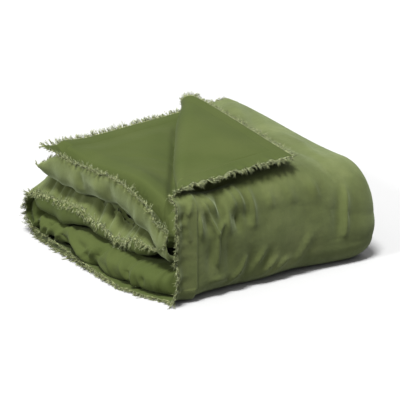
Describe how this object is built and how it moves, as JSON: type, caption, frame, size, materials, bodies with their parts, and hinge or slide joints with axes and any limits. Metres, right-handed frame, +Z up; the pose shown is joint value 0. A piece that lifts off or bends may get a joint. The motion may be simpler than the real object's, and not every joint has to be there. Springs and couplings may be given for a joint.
{
  "type": "duvet",
  "caption": "Puffy fringed duvet of olive velvet with a darker cotton back, folded twice into a thick pile with one top corner turned back.",
  "frame": {"origin": "centre of the bounding box of the folded pile, on the surface it rests on", "axes": "+Z up; +Y towards the back fold, -Y the front folds where the layers turn; -X the fringed side with the open ends of the layers, +X the smooth rounded far side"},
  "size_m": [0.4694, 0.5232, 0.2401],
  "materials": {
    "velvet": "matt short-pile velvet with a soft sheen, olive green",
    "lining": "smooth matt cotton, darker olive green",
    "fringe": "frayed matt threads, light olive green"
  },
  "bodies": {
    "root": {"duvet": "velvet", "fringe_near_side": "fringe", "fringe_top_end": "fringe", "fringe_inner_end": "fringe"}
  },
  "joints": []
}
